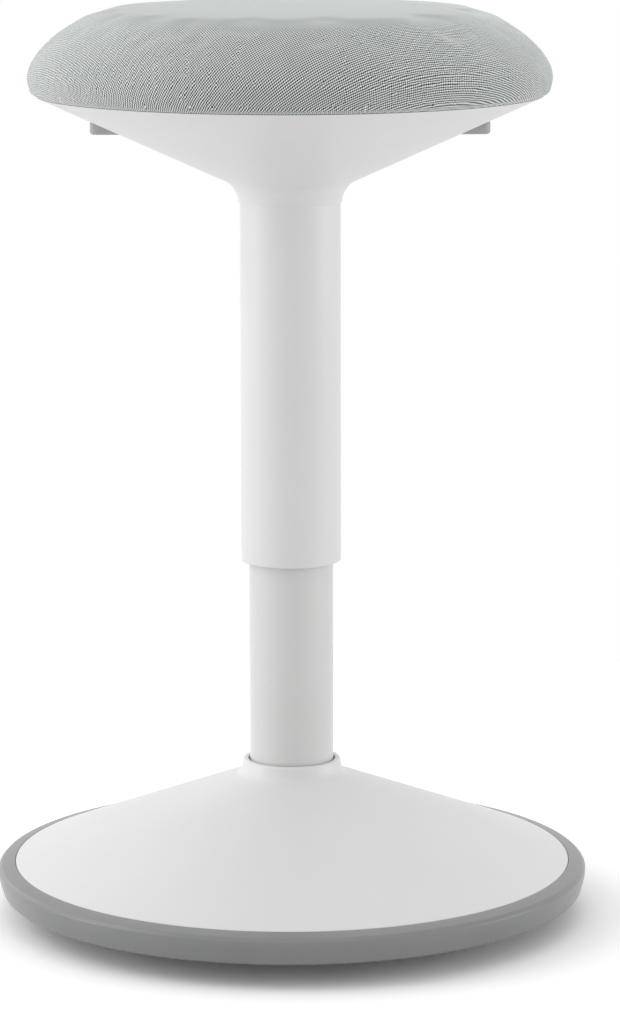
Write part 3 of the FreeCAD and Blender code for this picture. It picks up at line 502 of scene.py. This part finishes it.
ply = Finish("birch ply", (0.62, 0.45, 0.27), 0.62)
grain = ply.noise(28, 5, 0.6, PLY_GRAIN)
ply.tint(grain, 0.3, 0.7, (0.50, 0.34, 0.19), (0.70, 0.53, 0.34))
ply.gloss(grain, 0.3, 0.7, 0.55, 0.72)
ply.bump(grain, 0.25, 0.0002)
ply.on(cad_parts["seat_board"])

# Cushion: moulded foam under a tight cover of grey woven cloth. The cover is drawn over
# the foam, swells a little at its sides and is stapled underneath, above the shell's lip.
SEAM = 491.9
CUSHION = [(0, 0), (60, 0), (110, 0), (140, 0), (149.0, 0), (151.9, 1.8), (154.2, 5.0), (154.9, 9.0),
           (154.2, 13.0), (151.6, 18.0), (147.0, 24.0), (141.0, 30.0), (134.3, 36.0), (129.4, 40.0),
           (125.9, 42.8), (121.8, 45.2), (117.6, 46.9), (113.0, 48.1), (108.0, 48.7), (90.0, 49.7),
           (60.0, 50.7), (0, 51.6)]
CUSHION_STEPS = 144
REMESH_SIZE = 0.0042
STAPLED = 1.5
CLOTH_PRESSURE = 4.0
MOST_SWELL = 0.0010
FRAMES = 20
HEM_CUT = 4.0
HEM = [(152.2, 2.0), (149.6, 0.4), (149.0, 0.1), (148.4, 0.1), (140.0, 0.1)]


def shaped(piece):
    """The mesh that a piece's modifiers make."""
    return bpy.data.meshes.new_from_object(piece.evaluated_get(bpy.context.evaluated_depsgraph_get()))


padding = lathe([(radius, SEAM + height) for radius, height in CUSHION], CUSHION_STEPS, closed=False)
cushion = new_piece("cushion", padding, "seat")
remesh = cushion.modifiers.new("remesh", "REMESH")
remesh.mode, remesh.voxel_size, remesh.use_smooth_shade = "VOXEL", REMESH_SIZE, True
even = shaped(cushion)
cushion.modifiers.clear()
cushion.data = even
held = cushion.vertex_groups.new(name="held")
held.add([vert.index for vert in even.vertices if vert.co.z < (SEAM + STAPLED) * MM], 1.0, "REPLACE")
cloth = cushion.modifiers.new("cloth", "CLOTH")
cloth.settings.quality = 6
cloth.settings.mass = 0.3
cloth.settings.tension_stiffness = 15
cloth.settings.compression_stiffness = 15
cloth.settings.shear_stiffness = 8
cloth.settings.bending_stiffness = 2.0
cloth.settings.use_pressure = True
cloth.settings.uniform_pressure_force = CLOTH_PRESSURE
cloth.settings.vertex_group_mass = "held"
cloth.settings.effector_weights.gravity = 0
cloth.point_cache.frame_start, cloth.point_cache.frame_end = 1, FRAMES
for step in range(1, FRAMES + 1):
    bpy.context.scene.frame_set(step)
swollen = shaped(cushion)
cushion.modifiers.clear()
bpy.context.scene.frame_set(1)
for vert, moved in zip(even.vertices, swollen.vertices):
    way = moved.co - vert.co
    vert.co += way * min(1.0, MOST_SWELL / max(way.length, 1e-9))
bpy.data.meshes.remove(swollen)

# The remesh rounds the hem off, so it is cut away and drawn again: a tight fold round
# the edge of the board, and the cloth turned in underneath.
sewn = bmesh.new()
sewn.from_mesh(even)
bmesh.ops.bisect_plane(sewn, geom=sewn.verts[:] + sewn.edges[:] + sewn.faces[:], dist=1e-6,
                       plane_co=(0, 0, (SEAM + HEM_CUT) * MM), plane_no=(0, 0, -1), clear_outer=True)
hem_edges = [edge for edge in sewn.edges if edge.is_boundary]
for radius, height in HEM:
    drawn_down = bmesh.ops.extrude_edge_only(sewn, edges=hem_edges)["geom"]
    hem_edges = [item for item in drawn_down if isinstance(item, bmesh.types.BMEdge) and item.is_boundary]
    for vert in {vert for edge in hem_edges for vert in edge.verts}:
        share = radius * MM / math.hypot(vert.co.x, vert.co.y)
        vert.co = (vert.co.x * share, vert.co.y * share, (SEAM + height) * MM)
bmesh.ops.triangle_fill(sewn, edges=hem_edges, use_beauty=True)
bmesh.ops.recalc_face_normals(sewn, faces=sewn.faces)
sewn.to_mesh(even)
sewn.free()
even.polygons.foreach_set("use_smooth", [True] * len(even.polygons))
rounding = cushion.modifiers.new("rounding", "SUBSURF")
rounding.levels = rounding.render_levels = 1
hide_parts("seat_cover", "seat_foam")

# The weave follows the cloth as it was cut, a flat disc drawn down over the foam, so
# each point keeps its distance from the middle along the surface.
top_line = [Vector((radius, SEAM + height, 0)) for radius, height in reversed(CUSHION)]
spans, run = [], 0.0
for start, end in zip(top_line, top_line[1:]):
    spans.append((start, end, run))
    run += (end - start).length


def cloth_run(radius, height):
    """Millimetres along the cloth from its middle to the point nearest to this one."""
    here, nearest, found = Vector((radius, height, 0)), math.inf, 0.0
    for start, end, before in spans:
        share = min(1.0, max(0.0, intersect_point_line(here, start, end)[1]))
        gap = (start.lerp(end, share) - here).length
        if gap < nearest:
            nearest, found = gap, before + share * (end - start).length
    return found


drawn = even.attributes.new("drawn", "FLOAT_VECTOR", "POINT")
for vert, place in zip(even.vertices, drawn.data):
    radius = math.hypot(vert.co.x, vert.co.y) / MM
    share = cloth_run(radius, vert.co.z / MM) / max(radius, 1e-6)
    place.vector = (vert.co.x * share, vert.co.y * share, 0)

# The cloth has light yarns over a near-black ground, which is painted shade for the shadow down in
# the openings between them. On the crown, the weave gives way to a smooth grey that is painted sheen:
# it stands for the sheen and the slanting view that hide the openings there.
WARP_PITCH, WARP_TURN, WARP_SHARE = 1.32 * MM, math.radians(21), 0.42
WEFT_PITCH, WEFT_TURN, WEFT_SHARE = 1.45 * MM, math.radians(-53.5), 0.58
THREAD_LOW, THREAD_HIGH = -0.36, 0.38
CROWN_FROM, CROWN_FULL = 0.5355, 0.5405
# The near-black ground is painted shade in the weave's openings.
HOLE_SHADE_PAINT = (0.006, 0.008, 0.007)
YARN_DARK, YARN_LIGHT = (0.85, 0.885, 0.875), (0.91, 0.94, 0.93)
# The crown's colours are painted sheen, laid over the weave in place of its openings.
CROWN_SHEEN_DARK, CROWN_SHEEN_LIGHT = (0.29, 0.307, 0.302), (0.41, 0.435, 0.43)

fabric = Finish("grey woven cloth", (0.3, 0.32, 0.31), 0.85, Sheen_Weight=1.0, Sheen_Roughness=0.45,
                Sheen_Tint=(0.95, 1.0, 0.99, 1), Specular_IOR_Level=0.15)
drawn_place = fabric.node("ShaderNodeAttribute", {"attribute_name": "drawn"}, output="Vector")


def rows_of(pitch, turn):
    """A wave across the cloth, from -1 between two threads to 1 on a thread."""
    count = math.tau / pitch
    along = (count * math.cos(turn), count * math.sin(turn), 0)
    wave = fabric.node("ShaderNodeVectorMath", {"operation": "DOT_PRODUCT"}, [drawn_place, along], output=1)
    return wave.math("SINE")


weave = WARP_SHARE * rows_of(WARP_PITCH, WARP_TURN) + WEFT_SHARE * rows_of(WEFT_PITCH, WEFT_TURN)
threads = fabric.spread(weave, THREAD_LOW, THREAD_HIGH)
height = fabric.node("ShaderNodeSeparateXYZ", {}, [fabric.place()], output=2)
crown = fabric.spread(height, CROWN_FROM, CROWN_FULL)
yarn = fabric.blend(fabric.spread(fabric.noise(60, 5), 0.3, 0.7), YARN_DARK, YARN_LIGHT)
open_weave = fabric.blend(threads, HOLE_SHADE_PAINT, yarn)
# Painted sheen: the crown's smooth grey, blended in by height.
crown_sheen = fabric.blend(threads, CROWN_SHEEN_DARK, CROWN_SHEEN_LIGHT)
fabric.feed("Base Color", fabric.blend(crown, open_weave, crown_sheen))
fabric.bump(fabric.spread(weave, -1.0, 1.0), 0.4, 0.0003)
fabric.on(cushion)
